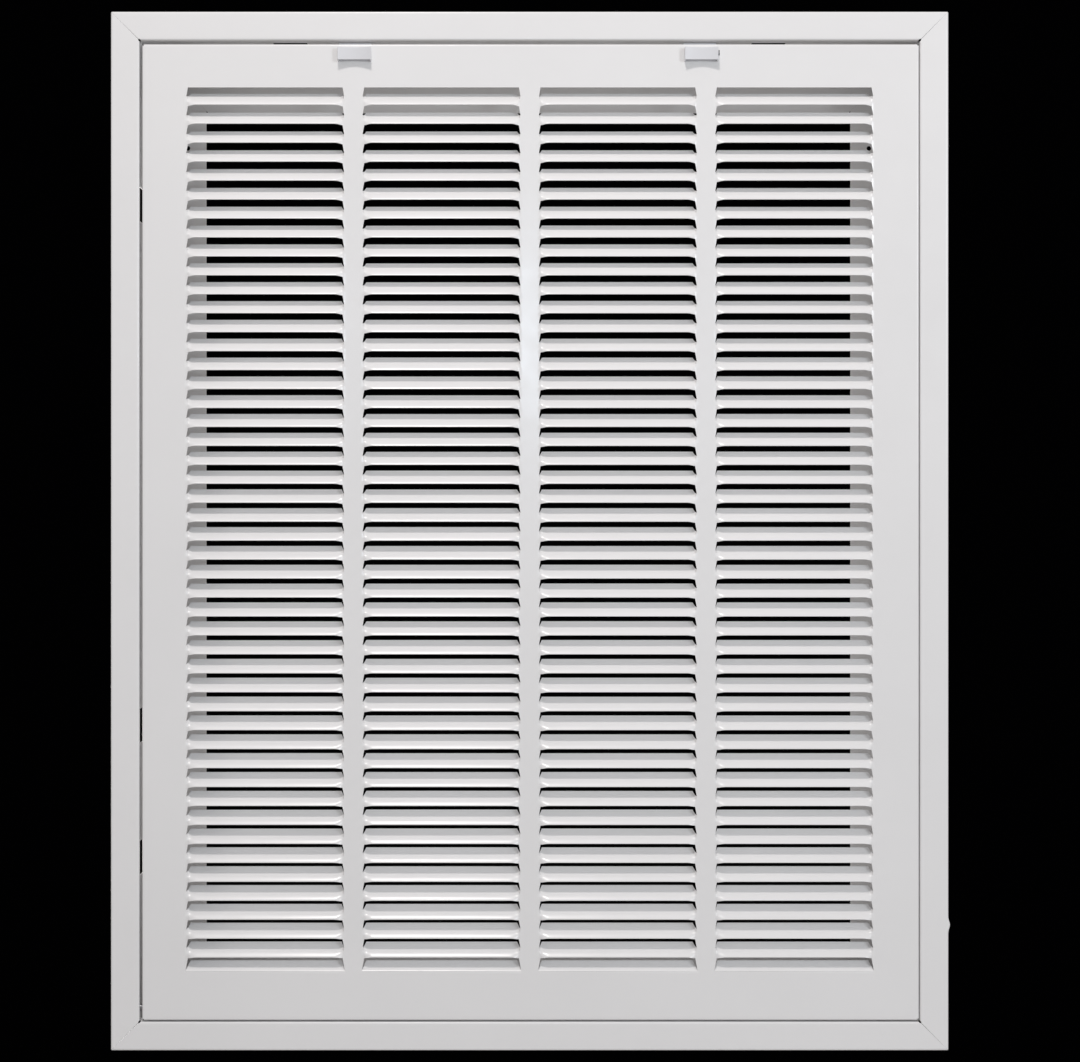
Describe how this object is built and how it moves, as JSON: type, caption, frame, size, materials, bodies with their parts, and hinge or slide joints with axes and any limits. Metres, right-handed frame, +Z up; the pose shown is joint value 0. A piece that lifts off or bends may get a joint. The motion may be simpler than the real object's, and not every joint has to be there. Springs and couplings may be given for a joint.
{
  "type": "return air filter grille",
  "caption": "White stamped-steel return air grille with a hinged louvered door, sliding latches and a deep folded frame that holds a flat air filter.",
  "frame": {"origin": "middle of the four mounting screw holes, on the rear face of the lip that the filter rests against", "axes": "+Z up, +X to the right as seen from the room, the louvered face towards -Y and the duct behind +Y"},
  "size_m": [0.562, 0.0431, 0.697],
  "materials": {
    "frame_paint": "semi-gloss baked white paint",
    "door_paint": "semi-gloss baked white paint",
    "zinc_sheet": "galvanised sheet",
    "rivet_metal": "plain aluminium rivets",
    "pin_steel": "zinc-plated steel",
    "latch_plastic": "moulded white plastic"
  },
  "bodies": {
    "frame": {"frame_top_rail": "frame_paint", "frame_bottom_rail": "frame_paint", "frame_left_rail": "frame_paint", "frame_right_rail": "frame_paint", "bracket_top_left": "zinc_sheet", "bracket_top_right": "zinc_sheet", "bracket_bottom_left": "zinc_sheet", "bracket_bottom_right": "zinc_sheet", "corner_rivets": "rivet_metal", "hinge_pin_left": "pin_steel", "hinge_pin_right": "pin_steel"},
    "door": {"door_panel": "door_paint", "latch_guide_left": "zinc_sheet", "latch_guide_right": "zinc_sheet"},
    "latch_left": {"latch_left": "latch_plastic"},
    "latch_right": {"latch_right": "latch_plastic"}
  },
  "joints": [
    {"name": "door_hinge", "type": "hinge", "parent": "frame", "child": "door", "pos_m": [0, -0.0335, -0.3202], "axis": [1, 0, 0], "range_deg": [0, 120]},
    {"name": "latch_left_slide", "type": "slide", "parent": "door", "child": "latch_left", "axis": [0, 0, 1], "range_m": [0, 0.0021]},
    {"name": "latch_right_slide", "type": "slide", "parent": "door", "child": "latch_right", "axis": [0, 0, 1], "range_m": [0, 0.0021]}
  ]
}
